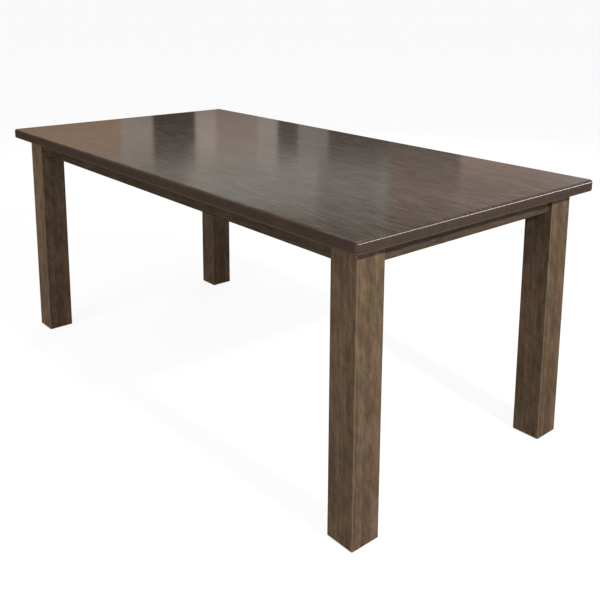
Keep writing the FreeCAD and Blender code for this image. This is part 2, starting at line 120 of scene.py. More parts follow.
def wood_grain(tree, centre, turn, plies, ring, curl, stain, depth=1.0):
    """Wood with its grain along X after a turn about its centre. Plies are the start and width of boards
    glued side by side, ring the spacing of the growth rings and curl how far the fibres wander sideways. A
    stain takes unevenly, which gives pale, reddish and olive clouds between darker growth rings. Depth scales
    the whole piece: above 1 it is painted light, below 1 painted shade. Gives the place in the wood, its
    colour and its fibres."""
    dark, middle, light, red, olive = [linear(code) for code in stain]
    place = add(tree, "TexCoord").outputs["Object"]
    wood = add(tree, "Mapping", {"vector_type": "TEXTURE"},
               {"Vector": place, "Location": centre, "Rotation": turn}).outputs["Vector"]
    across = add(tree, "SeparateXYZ", inputs={"Vector": wood}).outputs

    # Each glued board comes from another place in the tree
    ply_start, ply_width = plies
    shifted = add(tree, "Math", {"operation": "SUBTRACT"}, {0: across["Y"], 1: ply_start}).outputs[0]
    steps = add(tree, "Math", {"operation": "DIVIDE"}, {0: shifted, 1: ply_width}).outputs[0]
    number = add(tree, "Math", {"operation": "FLOOR"}, {0: steps}).outputs[0]
    ply = add(tree, "TexWhiteNoise", {"noise_dimensions": "1D"}, {"W": number}).outputs
    moved = add(tree, "VectorMath", {"operation": "MULTIPLY_ADD"},
                {0: ply["Color"], 1: BOARD_SHIFT, 2: wood}).outputs[0]

    # Growth rings wander along the board and come out as long arches where the heart is close below the face
    drift = blotches(tree, moved, RING_DRIFT, 3.0)["Color"]
    bent = add(tree, "VectorMath", {"operation": "MULTIPLY_ADD"},
               {0: drift, 1: HEART_DRIFT, 2: wood}).outputs[0]
    heart = add(tree, "VectorMath", {"operation": "MULTIPLY_ADD"},
                {0: ply["Color"], 1: HEART_SHIFT, 2: bent}).outputs[0]
    heart_place = add(tree, "Mapping", {}, {"Vector": heart, "Location": HEART_PLACE,
                                            "Rotation": HEART_SLOPE}).outputs[0]
    rings = add(tree, "TexWave", {"wave_type": "RINGS", "rings_direction": "X", "wave_profile": "SAW"},
                {"Vector": heart_place, "Scale": WAVE_SPACING / ring, "Distortion": 3.0, "Detail": 3.0,
                 "Detail Scale": 1.4}).outputs["Fac"]

    # Fibres and pale flecks are well under a millimetre wide, drawn about 4 and 2 mm wide so that they show
    sway = blotches(tree, moved, SWAY, 2.0)["Color"]
    figure = add(tree, "VectorMath", {"operation": "MULTIPLY_ADD"},
                 {0: sway, 1: (0.0, curl, curl), 2: moved}).outputs[0]
    fibre = blotches(tree, figure, FIBRE, 4.0)["Fac"]
    fleck = blotches(tree, figure, FLECK, 2.0)["Fac"]
    streak = blotches(tree, figure, STREAK, 3.0)["Fac"]
    cloud = blotches(tree, figure, CLOUD, 4.0)
    hue = add(tree, "SeparateColor", inputs={"Color": cloud["Color"]}).outputs

    colour = tinted(tree, fibre, 0.30, 0.56, 1.0, dark, middle)
    colour = tinted(tree, streak, 0.45, 0.66, 0.5, colour, light)
    colour = tinted(tree, cloud["Fac"], 0.44, 0.62, 0.5, colour, light)
    colour = tinted(tree, hue["Green"], 0.5, 0.66, 0.6, colour, red)
    colour = tinted(tree, hue["Blue"], 0.48, 0.66, 0.6, colour, olive)
    colour = tinted(tree, rings, 0.5, 1.0, 0.5, colour, dark)
    colour = tinted(tree, fleck, 0.58, 0.72, 0.4, colour, light)
    tone = add(tree, "MapRange", {}, {"Value": ply["Value"], "To Min": BOARD_TONES[0] * depth,
                                      "To Max": BOARD_TONES[1] * depth}).outputs[0]
    colour = add(tree, "VectorMath", {"operation": "SCALE"}, {0: colour, "Scale": tone}).outputs[0]
    return wood, colour, fibre


def wood_surface(tree, colour, fibre, gloss, mirror, relief=0.15):
    """Surface of worked wood. Gloss is its least and most roughness, as the pores break the film of lacquer,
    mirror how strongly it reflects, and relief how much of the pores is left open."""
    sheen = add(tree, "MapRange", {}, {"Value": fibre, "From Min": 0.3, "From Max": 0.7,
                                       "To Min": gloss[0], "To Max": gloss[1]}).outputs[0]
    grain = add(tree, "Bump", {}, {"Strength": relief, "Distance": PORE_DEPTH, "Height": fibre}).outputs[0]
    surface = add(tree, "BsdfPrincipled", {}, {"Base Color": colour, "Roughness": sheen, "IOR": LACQUER_IOR,
                                               "Specular IOR Level": mirror, "Normal": grain}).outputs[0]
    add(tree, "OutputMaterial", {}, {"Surface": surface})


# Stained maple under satin lacquer: a close grey-brown grain with cloudy patches and a low, even sheen
for direction, turn, sides in (("long", ALONG_LENGTH, ("front", "rear")),
                               ("short", ALONG_WIDTH, ("left", "right"))):
    rail_finish, tree = new_material(f"maple_{direction}_rail_stained")
    _, colour, fibre = wood_grain(tree, TABLE_MIDDLE, turn, SINGLE_BOARD, RAIL_RINGS, RAIL_CURL, RAIL_STAIN,
                                  RAIL_PAINTED_SHADE)
    wood_surface(tree, colour, fibre, SATIN, SATIN_MIRROR)
    for side in sides:
        nodes[f"apron_{side}"].data.materials[0] = rail_finish

# Corner blocks: short poplar blocks set across the inside of each corner, sawn, planed and left bare. They
# are glued and screwed to both aprons and take the pull of the leg bolts, with their grain across the corner.
POPLAR = ("#96744C", "#BB986B", "#D3B78D", "#B88E66", "#A3976A")
POPLAR_RINGS = 0.007
PLANED = (0.58, 0.74)
PLANED_MIRROR = 0.3
PLANED_RELIEF = 0.3


def bare_poplar(name, turn):
    """Planed poplar with nothing on it: dry pale fibres, tan and greenish streaks and hardly any shine."""
    material, tree = new_material(name)
    _, colour, fibre = wood_grain(tree, TABLE_MIDDLE, turn, SINGLE_BOARD, POPLAR_RINGS, RAIL_CURL, POPLAR)
    wood_surface(tree, colour, fibre, PLANED, PLANED_MIRROR, PLANED_RELIEF)
    return material


for direction, angle, corners in (("rising", 45, ("front_right", "rear_left")),
                                  ("falling", -45, ("front_left", "rear_right"))):
    block_finish = bare_poplar(f"poplar_block_planed_{direction}", (0.0, 0.0, radians(angle)))
    for corner in corners:
        nodes[f"corner_block_{corner}"].data.materials[0] = block_finish

# Corner block screws: zinc-plated wood screws with pan heads and a cross recess, four in each block. They go
# from counterbored seats in the block through to the aprons, and their coarse thread runs up to the head.
SCREW_CORE, SCREW_CREST = 0.0014, 0.0021
SCREW_PITCH = 0.0018
SCREW_ROOT = 0.5
SCREW_POINT = 0.006
POINT_SHARE = 0.08
HEAD_HEIGHT = 0.003
HEAD_CROWN = ((0.0036, 0.0004), (0.0042, 0.0014), (0.0042, HEAD_HEIGHT))
CROSS_HALF, CROSS_REACH, CROSS_RIM = 0.0005, 0.0018, 0.0027
CROSS_DEPTH = 0.0015
CROSS_TAPER = 0.7
STEPS_PER_TURN = 12
# Turns of thread below the lower cut of a rod, and turns in all beyond its length
LEAD_TURNS, SPARE_TURNS = 1.6, 4
MERGE = 1e-6
SHARP = radians(35)
ZINC_GREY, ZINC_PALE, ZINC_YELLOW = "#9FA3A6", "#BBBCB9", "#C4BB99"
ZINC_BLOOM = (0.009, 0.009, 0.009)
ZINC_CRYSTALS = (0.0011, 0.0011, 0.0011)
ZINC_GLOSS = (0.26, 0.44)
ZINC_RELIEF, ZINC_DEPTH = 0.08, 0.0002


def solid_boxes(name):
    """Lowest and highest corners of each separate solid in a CAD node."""
    mesh = bmesh.new()
    mesh.from_mesh(nodes[name].data)
    bmesh.ops.remove_doubles(mesh, verts=mesh.verts, dist=MERGE)
    boxes = []
    for start in mesh.verts:
        if start.tag:
            continue
        start.tag = True
        solid = [start]
        for vert in solid:
            for other in [edge.other_vert(vert) for edge in vert.link_edges]:
                if not other.tag:
                    other.tag = True
                    solid.append(other)
        ends = [[pick(vert.co[axis] for vert in solid) for axis in range(3)] for pick in (min, max)]
        boxes.append([Vector(end) for end in ends])
    mesh.free()
    return boxes


def threaded_rod(core, crest, pitch, root, low, high):
    """Rod with a thread between two levels: a V that climbs as it spins, trimmed flat at both ends. Root is
    the share of each turn that is bare core."""
    rod = bmesh.new()
    start = low - LEAD_TURNS * pitch
    turns = int((high - low) / pitch) + SPARE_TURNS
    groove = ((core, 0.0), (core, root), (crest, (1 + root) / 2), (core, 1.0))
    verts = [rod.verts.new((radius, 0.0, start + share * pitch)) for radius, share in groove]
    edges = [rod.edges.new(pair) for pair in zip(verts, verts[1:])]
    bmesh.ops.spin(rod, geom=verts + edges, cent=(0, 0, 0), axis=(0, 0, 1), angle=2 * pi * turns,
                   dvec=(0, 0, pitch / STEPS_PER_TURN), steps=STEPS_PER_TURN * turns)
    bmesh.ops.remove_doubles(rod, verts=rod.verts, dist=MERGE)
    for level, way in ((low, -1), (high, 1)):
        cut = bmesh.ops.bisect_plane(rod, geom=rod.verts[:] + rod.edges[:] + rod.faces[:], clear_outer=True,
                                     plane_co=(0, 0, level), plane_no=(0, 0, way))["geom_cut"]
        bmesh.ops.edgeloop_fill(rod, edges=[part for part in cut if isinstance(part, bmesh.types.BMEdge)])
    return rod


def taper(rod, level, end, share):
    """Narrows a rod from a level to its end, to a share of its radius."""
    for vert in rod.verts:
        along = (vert.co.z - level) / (end - level)
        if along > 0:
            vert.co.xy = vert.co.xy * (1 - along * (1 - share))


def cross_head(top):
    """Pan head: a small grid whose five middle cells are pressed in as the cross, its rim drawn out and down.
    The grid's lines start at 0.2, 0.6 and 1 from its middle, and are moved to the sizes of the cross."""
    head = bmesh.new()
    bmesh.ops.create_grid(head, x_segments=5, y_segments=5, size=1.0)
    for vert in head.verts:
        if max(abs(vert.co.x), abs(vert.co.y)) > 0.9:
            vert.co = vert.co.normalized() * CROSS_RIM
        else:
            for axis in (0, 1):
                line = CROSS_REACH if abs(vert.co[axis]) > 0.4 else CROSS_HALF
                vert.co[axis] = copysign(line, vert.co[axis])
    middles = {face: [abs(part) for part in face.calc_center_median()[:2]] for face in head.faces}
    cross = [face for face, middle in middles.items()
             if min(middle) < CROSS_HALF / 2 and max(middle) < CROSS_REACH]
    pressed = bmesh.ops.extrude_face_region(head, geom=cross)["geom"]
    bottom = [part for part in pressed if isinstance(part, bmesh.types.BMVert)]
    bmesh.ops.delete(head, geom=cross, context="FACES")
    bmesh.ops.scale(head, verts=bottom, vec=(CROSS_TAPER, CROSS_TAPER, 1.0))
    bmesh.ops.translate(head, verts=bottom, vec=(0, 0, -CROSS_DEPTH))
    rim = [edge for edge in head.edges if edge.is_boundary]
    for radius, drop in HEAD_CROWN:
        drawn = bmesh.ops.extrude_edge_only(head, edges=rim)["geom"]
        rim = [part for part in drawn if isinstance(part, bmesh.types.BMEdge)]
        for vert in [part for part in drawn if isinstance(part, bmesh.types.BMVert)]:
            vert.co.xy = vert.co.xy.normalized() * radius
            vert.co.z = -drop
    bmesh.ops.edgeloop_fill(head, edges=rim)
    bmesh.ops.translate(head, verts=head.verts, vec=(0, 0, top))
    return head


def joined(*parts):
    """One bmesh of several."""
    whole = bmesh.new()
    for part in parts:
        data = bpy.data.meshes.new("part")
        part.to_mesh(data)
        part.free()
        whole.from_mesh(data)
        bpy.data.meshes.remove(data)
    return whole


def wood_screw(name):
    """Screw as long as the solids of a CAD node, its point down and its head up."""
    low, high = solid_boxes(name)[0]
    length = max(high - low)
    thread = threaded_rod(SCREW_CORE, SCREW_CREST, SCREW_PITCH, SCREW_ROOT, 0.0, length - HEAD_HEIGHT / 2)
    taper(thread, SCREW_POINT, 0.0, POINT_SHARE)
    return joined(thread, cross_head(length))


def set_fixings(piece_name, name, pattern, facing, finish):
    """One piece with a copy of the pattern at every solid of a CAD node, its upper end turned the way that
    facing gives for the middle and size of the solid."""
    bmesh.ops.recalc_face_normals(pattern, faces=pattern.faces)
    levels = [vert.co.z for vert in pattern.verts]
    bmesh.ops.translate(pattern, verts=pattern.verts, vec=(0, 0, -(min(levels) + max(levels)) / 2))
    stamp = bpy.data.meshes.new("pattern")
    pattern.to_mesh(stamp)
    pattern.free()
    whole = bmesh.new()
    for low, high in solid_boxes(name):
        middle = (low + high) / 2
        count = len(whole.verts)
        whole.from_mesh(stamp)
        turn = facing(middle, high - low).to_track_quat("Z", "Y").to_matrix().to_4x4()
        bmesh.ops.transform(whole, matrix=Matrix.Translation(middle) @ turn, verts=whole.verts[count:])
    bpy.data.meshes.remove(stamp)
    data = bpy.data.meshes.new(piece_name)
    whole.to_mesh(data)
    whole.free()
    data.polygons.foreach_set("use_smooth", [True] * len(data.polygons))
    data.set_sharp_from_angle(angle=SHARP)
    data.materials.append(finish)
    piece = bpy.data.objects.new(piece_name, data)
    bpy.context.scene.collection.objects.link(piece)
    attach(piece, "root")
    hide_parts(name)


def out_of_apron(middle, size):
    """Square to the apron that a block screw is driven into, towards the middle of the table."""
    if size.x > size.y:
        return Vector((-copysign(1, middle.x), 0, 0))
    return Vector((0, -copysign(1, middle.y), 0))


# Zinc plate over steel: a grey, slightly grainy metal with a faint yellow bloom. The crystals are far below a
# millimetre and are drawn about 1 mm across
zinc_finish, tree = new_material("steel_zinc_plated")
place = add(tree, "TexCoord").outputs["Object"]
bloom = blotches(tree, place, ZINC_BLOOM, 3.0)
crystals = blotches(tree, place, ZINC_CRYSTALS, 2.0)["Fac"]
hue = add(tree, "SeparateColor", inputs={"Color": bloom["Color"]}).outputs
colour = tinted(tree, bloom["Fac"], 0.38, 0.62, 1.0, linear(ZINC_GREY), linear(ZINC_PALE))
colour = tinted(tree, hue["Blue"], 0.5, 0.7, 0.5, colour, linear(ZINC_YELLOW))
dull = add(tree, "MapRange", {}, {"Value": crystals, "From Min": 0.3, "From Max": 0.7,
                                  "To Min": ZINC_GLOSS[0], "To Max": ZINC_GLOSS[1]}).outputs[0]
grain = add(tree, "Bump", {}, {"Strength": ZINC_RELIEF, "Distance": ZINC_DEPTH,
                               "Height": crystals}).outputs[0]
plate = add(tree, "BsdfPrincipled", {}, {"Base Color": colour, "Metallic": 1.0, "Roughness": dull,
                                         "Normal": grain}).outputs[0]
add(tree, "OutputMaterial", {}, {"Surface": plate})
set_fixings("corner_block_screws_threaded", "corner_block_screws", wood_screw("corner_block_screws"),
            out_of_apron, zinc_finish)

# Cross braces: two poplar battens on edge under the top, housed in the long aprons so that these can't
# spread. They are planed and left bare, with their grain along the battens.
batten_finish = bare_poplar("poplar_batten_planed", ALONG_WIDTH)
for side in ("left", "right"):
    nodes[f"cross_brace_{side}"].data.materials[0] = batten_finish

# Legs: square maple posts glued up from three thick boards, sanded and stained a little lighter than the
# aprons, which are also drawn darker as painted shade. Their long corners are eased by hand, where the stain
# is rubbed thin and a paler line is drawn that is partly a painted highlight on the eased edge, and the inner
# corner is cut away behind the aprons.
LEG_STAIN = ("#614E3C", "#745E4A", "#8B745D", "#7F604C", "#6A5D43")
# Painted light: the lightness each leg is drawn at. The left legs stand in the top's shade from the right and
# are drawn much lighter
LEG_PAINTED_LIGHT = {"front_left": 1.42, "front_right": 1.02, "rear_right": 0.97, "rear_left": 1.26}
LEG_RINGS = 0.013
LEG_CURL = 0.035
LEG_PLIES = 3
ALONG_HEIGHT = (0.0, radians(-90), 0.0)
LEG_MOTTLE = (0.055, 0.017, 0.017)
MOTTLE_SLANT = (0.0, radians(18), radians(18))
MOTTLE_TONES = (1.09, 0.87)
# Paler colour of the long corners: stain rubbed thin there, and a painted highlight on the eased edge
RUBBED_AND_SHEEN = "#937F6B"
EASED = 0.003

# Stained maple with a figure: soft darker patches that lie aslant over the grain, and paler long corners
for corner, depth in LEG_PAINTED_LIGHT.items():
    low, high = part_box(f"leg_{corner}")
    side = high.x - low.x
    leg_finish, tree = new_material(f"maple_leg_stained_{corner}")
    wood, colour, fibre = wood_grain(tree, (low + high) / 2, ALONG_HEIGHT, (-side / 2, side / LEG_PLIES),
                                     LEG_RINGS, LEG_CURL, LEG_STAIN, depth)
    aslant = add(tree, "Mapping", {}, {"Vector": wood, "Rotation": MOTTLE_SLANT}).outputs[0]
    mottle = blotches(tree, aslant, LEG_MOTTLE, 4.0)["Fac"]
    tone = add(tree, "MapRange", {"interpolation_type": "SMOOTHSTEP"},
               {"Value": mottle, "From Min": 0.42, "From Max": 0.62, "To Min": MOTTLE_TONES[0],
                "To Max": MOTTLE_TONES[1]}).outputs[0]
    colour = add(tree, "VectorMath", {"operation": "SCALE"}, {0: colour, "Scale": tone}).outputs[0]
    around = add(tree, "VectorMath", {"operation": "ABSOLUTE"}, {0: wood}).outputs[0]
    reach = add(tree, "VectorMath", {"operation": "DOT_PRODUCT"},
                {0: around, 1: (0.0, 1.0, 1.0)}).outputs["Value"]
    colour = tinted(tree, reach, side - EASED, side - EASED / 2, 0.5, colour, linear(RUBBED_AND_SHEEN))
    wood_surface(tree, colour, fibre, SATIN, SATIN_MIRROR)
    nodes[f"leg_{corner}"].data.materials[0] = leg_finish

# Hanger bolts: two in each leg, one above the other, zinc plated. One end is a coarse wood thread driven into
# the leg's cut corner, the other a machine thread that sticks out through the corner block.
LEG_END, NECK, NUT_END = 0.04525, 0.004, 0.0391
NECK_END = LEG_END + NECK
BOLT_END = NECK_END + NUT_END
BOLT_RADIUS = 0.004
LAG_CORE, LAG_PITCH, LAG_ROOT = 0.0028, 0.003, 0.55
LAG_POINT = 0.009
MACHINE_CORE, MACHINE_PITCH, MACHINE_ROOT = 0.00325, 0.00125, 0.12
NECK_RADIUS = 0.0035
NECK_STEPS = 24
TAIL_CHAMFER, TAIL_SHARE = 0.001, 0.8


def across_corner(middle, size):
    """From a leg towards the middle of the table, across the corner block."""
    return Vector((-copysign(1, middle.x), -copysign(1, middle.y), 0))


lag = threaded_rod(LAG_CORE, BOLT_RADIUS, LAG_PITCH, LAG_ROOT, 0.0, LEG_END)
taper(lag, LAG_POINT, 0.0, POINT_SHARE)
neck = bmesh.new()
bmesh.ops.create_cone(neck, cap_ends=True, segments=NECK_STEPS, radius1=NECK_RADIUS, radius2=NECK_RADIUS,
                      depth=NECK, matrix=Matrix.Translation((0, 0, LEG_END + NECK / 2)))
machine = threaded_rod(MACHINE_CORE, BOLT_RADIUS, MACHINE_PITCH, MACHINE_ROOT, NECK_END, BOLT_END)
taper(machine, BOLT_END - TAIL_CHAMFER, BOLT_END, TAIL_SHARE)
set_fixings("hanger_bolts_threaded", "hanger_bolts", joined(lag, neck, machine), across_corner, zinc_finish)

# Washers: stamped steel rings between the corner blocks and the nuts, zinc plated. The punch rolls them over
# at the rim and leaves a small burr edge at the hole.
WASHER = ((0.0042, 0.0002), (0.0044, 0.0), (0.0079, 0.0), (0.008, 0.0001), (0.008, 0.0011), (0.0078, 0.0015),
          (0.0075, 0.0016), (0.0046, 0.0016), (0.0042, 0.0014), (0.0042, 0.0002))
ROUND_STEPS = 48


def turned(profile):
    """Profile of radii and heights spun once round Z."""
    piece = bmesh.new()
    verts = [piece.verts.new((radius, 0.0, height)) for radius, height in profile]
    edges = [piece.edges.new(pair) for pair in zip(verts, verts[1:])]
    bmesh.ops.spin(piece, geom=verts + edges, cent=(0, 0, 0), axis=(0, 0, 1), dvec=(0, 0, 0), angle=2 * pi,
                   steps=ROUND_STEPS, use_merge=True)
    bmesh.ops.remove_doubles(piece, verts=piece.verts, dist=MERGE)
    return piece


set_fixings("bolt_washers_round", "bolt_washers", turned(WASHER), across_corner, zinc_finish)

# Nuts: hexagon nuts that draw the legs tight against the aprons. They are forged, chamfered at 30 degrees on
# both faces, tapped and zinc plated.
NUT_HEIGHT = 0.0065
NUT_FLAT = 0.0065
NUT_BORE, NUT_MOUTH, MOUTH_DEPTH = 0.0039, 0.0044, 0.0005
NUT_CHAMFER = 0.0061
NUT_BAR = 0.0075
NUT = ((NUT_BORE, MOUTH_DEPTH), (NUT_MOUTH, 0.0), (NUT_CHAMFER, 0.0), (NUT_BAR, 0.0), (NUT_BAR, NUT_HEIGHT),
       (NUT_CHAMFER, NUT_HEIGHT), (NUT_MOUTH, NUT_HEIGHT), (NUT_BORE, NUT_HEIGHT - MOUTH_DEPTH),
       (NUT_BORE, MOUTH_DEPTH))
HALF_SIDE, SIDE_TURN = radians(30), radians(60)
CHAMFER_SLOPE = tan(radians(30))
nut = turned(NUT)
for vert in nut.verts:
    if vert.co.xy.length > (NUT_CHAMFER + NUT_BAR) / 2:
        angle = atan2(vert.co.y, vert.co.x)
        radius = NUT_FLAT / cos((angle + HALF_SIDE) % SIDE_TURN - HALF_SIDE)
        vert.co.xy = vert.co.xy.normalized() * radius
        drop = (radius - NUT_CHAMFER) * CHAMFER_SLOPE
        vert.co.z += drop if vert.co.z < NUT_HEIGHT / 2 else -drop
set_fixings("hex_nuts_chamfered", "hex_nuts", nut, across_corner, zinc_finish)

# Glides: round nylon feet under the legs, moulded dark brown round a nail that is knocked into the end grain.
# The sole has a rounded rim and a dimple in the middle from moulding.
GLIDE = ((0.0, 0.020), (0.0004, 0.0195), (0.0012, 0.0165), (0.0012, 0.004), (0.0112, 0.004), (0.0117, 0.0038),
         (0.012, 0.0032), (0.012, 0.0018), (0.0117, 0.0010), (0.0110, 0.0004), (0.0098, 0.0), (0.0036, 0.0),
         (0.0031, 0.0003), (0.0027, 0.0010), (0.0, 0.0012))
NYLON_DARK, NYLON_SCUFFED = "#241C17", "#352A22"
NYLON_SKIN = (0.0006, 0.0006, 0.0006)
NYLON_SCUFFS = (0.006, 0.006, 0.006)
NYLON_GLOSS = (0.42, 0.58)
NYLON_RELIEF, NYLON_DEPTH = 0.12, 0.0001
NYLON_IOR = 1.53


def upwards(middle, size):
    """From the floor up into a leg."""
    return Vector((0, 0, 1))


# Moulded nylon: nearly even dark brown with a fine matt skin, whose grain is drawn about 0.6 mm across
glide_finish, tree = new_material("nylon_brown_moulded")
place = add(tree, "TexCoord").outputs["Object"]
skin = blotches(tree, place, NYLON_SKIN, 2.0)["Fac"]
scuffs = blotches(tree, place, NYLON_SCUFFS, 4.0)["Fac"]
colour = tinted(tree, scuffs, 0.4, 0.65, 1.0, linear(NYLON_DARK), linear(NYLON_SCUFFED))
dull = add(tree, "MapRange", {}, {"Value": scuffs, "From Min": 0.3, "From Max": 0.7,
                                  "To Min": NYLON_GLOSS[0], "To Max": NYLON_GLOSS[1]}).outputs[0]
grain = add(tree, "Bump", {}, {"Strength": NYLON_RELIEF, "Distance": NYLON_DEPTH, "Height": skin}).outputs[0]
moulded = add(tree, "BsdfPrincipled", {}, {"Base Color": colour, "Roughness": dull, "IOR": NYLON_IOR,
                                           "Normal": grain}).outputs[0]
add(tree, "OutputMaterial", {}, {"Surface": moulded})
for corner in LEG_PAINTED_LIGHT:
    set_fixings(f"glide_{corner}_moulded", f"glide_{corner}", turned(GLIDE), upwards, glide_finish)

# Table top: seven maple boards planed to one thickness and glued edge to edge. The rim is rounded over with a
# router after gluing. Several coats of stain and semi-gloss lacquer make it darker than the frame and mirror
# the room softly, and the sawn ends and rim drink more stain than the face.
TOP_BOARDS = [f"top_board_{number}" for number in range(1, 8)]
TOP_LOW, TOP_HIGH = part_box(TOP_BOARDS[0])[0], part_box(TOP_BOARDS[-1])[1]
BOARD_WIDTH = (TOP_HIGH.y - TOP_LOW.y) / len(TOP_BOARDS)
TOP_STAIN = ("#37312C", "#564D45", "#756A60", "#684F46", "#534D42")
TOP_RINGS = 0.011
TOP_CURL = 0.008
SEMI_GLOSS = (0.08, 0.15)
SEMI_GLOSS_MIRROR = 0.5
PORES = (0.075, 0.0085, 0.0085)
PORE_PATCHES = (0.26, 0.10, 0.10)
PORE_SHARES = (0.1, 0.55)
# Pale colour painted on the open pores as their glint
PORE_GLINT = "#897E75"
PORE_RELIEF = 0.35
RIM_STAIN = "#514239"
# Paler brown painted on the lower arris of the rim as a highlight
RIM_ARRIS_HIGHLIGHT = "#7C6754"

# Stained maple under semi-gloss lacquer: a dark, quiet grain behind a film with a soft mirror in it
top_finish, tree = new_material("maple_top_stained_lacquered")
wood, colour, fibre = wood_grain(tree, (0.0, 0.0, TOP_HIGH.z), ALONG_LENGTH, (TOP_LOW.y, BOARD_WIDTH),
                                 TOP_RINGS, TOP_CURL, TOP_STAIN)
facing = add(tree, "TexCoord").outputs["Normal"]
upright = add(tree, "SeparateXYZ", inputs={"Vector": facing}).outputs["Z"]
level = add(tree, "Math", {"operation": "ABSOLUTE"}, {0: upright}).outputs[0]
sideways = add(tree, "Math", {"operation": "SUBTRACT"}, {0: 1.0, 1: level}).outputs[0]
# Open pores catch the light as short pale lines, painted into the colour as a highlight and drawn about 8 mm
# wide so that they show at a low angle. The lacquer fills them better in some places than in others, so the
# painted lines come and go in patches
pores = blotches(tree, wood, PORES, 4.0)["Fac"]
patches = blotches(tree, wood, PORE_PATCHES, 3.0)["Fac"]
glint_share = add(tree, "MapRange", {}, {"Value": patches, "From Min": 0.38, "From Max": 0.62,
                                        "To Min": PORE_SHARES[0], "To Max": PORE_SHARES[1]}).outputs[0]
colour = tinted(tree, pores, 0.53, 0.68, glint_share, colour, linear(PORE_GLINT))
colour = tinted(tree, sideways, 0.1, 0.5, 0.85, colour, linear(RIM_STAIN))
# Painted highlight: the lower arris of the rim, which faces down and out, is drawn a paler brown as if it
# caught the light from below
below = add(tree, "Math", {"operation": "MULTIPLY"}, {0: upright, 1: -1.0}).outputs[0]
lower_arris_lit = add(tree, "Math", {"operation": "MULTIPLY"}, {0: below, 1: sideways}).outputs[0]
colour = tinted(tree, lower_arris_lit, 0.06, 0.16, 0.7, colour, linear(RIM_ARRIS_HIGHLIGHT))
# The pores are open on the flat faces only, and the rounded rim is smooth
relief = add(tree, "MapRange", {}, {"Value": level, "From Min": 0.93, "From Max": 1.0, "To Min": 0.0,
                                    "To Max": PORE_RELIEF}).outputs[0]
wood_surface(tree, colour, pores, SEMI_GLOSS, SEMI_GLOSS_MIRROR, relief)
for name in TOP_BOARDS:
    nodes[name].data.materials[0] = top_finish

# Brace screws: the same zinc-plated screws, longer, driven up into the top from deep counterbores in the
# cross braces. They pass through slots, so that the top can swell and shrink across its width.


def downwards(middle, size):
    """From the underside of the top towards the floor, where the heads of its screws are."""
    return Vector((0, 0, -1))


set_fixings("brace_screws_threaded", "brace_screws", wood_screw("brace_screws"), downwards, zinc_finish)

# Top clips: stepped strips of zinc-plated steel, stamped and bent. One end hooks into a saw kerf in the
# apron, the other is screwed up to the top, which can still move across its width.
nodes["top_clips"].data.materials[0] = zinc_finish

# Clip screws: short zinc-plated screws of the same kind, one through each clip. They are driven up into the
# underside of the top and end well below its face.
set_fixings("clip_screws_threaded", "clip_screws", wood_screw("clip_screws"), downwards, zinc_finish)

# Floor: a seamless sheet of matt paper that runs out of sight under the table and keeps its faint shadow. It
# throws back little light, so that the underside stays dark, and is lifted to a pale white where it is seen.
FLOOR_REACH = 60.0
FLOOR_STEPS = 96
PAPER = "#909090"
PAPER_LIFT = 0.88
WHITE = "#FFFFFF"
floor_mesh = bmesh.new()
bmesh.ops.create_circle(floor_mesh, cap_ends=True, segments=FLOOR_STEPS, radius=FLOOR_REACH)
floor_data = bpy.data.meshes.new("floor")
floor_mesh.to_mesh(floor_data)
floor_mesh.free()
floor_object = bpy.data.objects.new("floor", floor_data)
bpy.context.scene.collection.objects.link(floor_object)


def background_rays(tree):
    """One where the background is looked at, straight, in a mirror or through glass, and nothing where it
    only gives light."""
    path = add(tree, "LightPath").outputs
    mirrored = add(tree, "Math", {"operation": "MAXIMUM"},
                   {0: path["Is Camera Ray"], 1: path["Is Glossy Ray"]}).outputs[0]
    return add(tree, "Math", {"operation": "MAXIMUM"},
               {0: mirrored, 1: path["Is Transmission Ray"]}).outputs[0]


paper, tree = new_material("seamless_white_paper")
lift = add(tree, "Math", {"operation": "MULTIPLY"}, {0: background_rays(tree), 1: PAPER_LIFT}).outputs[0]
glow = add(tree, "Emission", {}, {"Color": linear(WHITE), "Strength": lift}).outputs[0]
matt = add(tree, "BsdfDiffuse", {}, {"Color": linear(PAPER)}).outputs[0]
both = add(tree, "AddShader", {}, {0: glow, 1: matt}).outputs[0]
add(tree, "OutputMaterial", {}, {"Surface": both})
floor_data.materials.append(paper)

# World: even light from all round, as from the pale walls of a studio. Where it is looked at it has the white
# of the floor's far end, so that no horizon shows.
SKY_LIGHT = 0.25
FLOOR_WHITE = PAPER_LIFT + linear(PAPER)[0] * SKY_LIGHT
world = bpy.data.worlds.new("studio")
bpy.context.scene.world = world
world.use_nodes = True
tree = world.node_tree
tree.nodes.clear()
strength = add(tree, "MapRange", {}, {"Value": background_rays(tree), "To Min": SKY_LIGHT,
                                      "To Max": FLOOR_WHITE}).outputs[0]
sky = add(tree, "Background", {}, {"Color": linear(WHITE), "Strength": strength}).outputs[0]
add(tree, "OutputWorld", {}, {"Surface": sky})

# Flats: grey panels that stand in a ring round the table and show only in its lacquer, so that the top has
# soft upright bands in it and the rim isn't veiled by the white floor. They glow with their own tones and
# light nothing: a painted reflection. A row of wider panels stands on them, with a dim ceiling above and a
# dark card below.
FLAT_RADIUS = 2.8
FLAT_HEIGHT = 4.0
FLAT_STEPS = 128
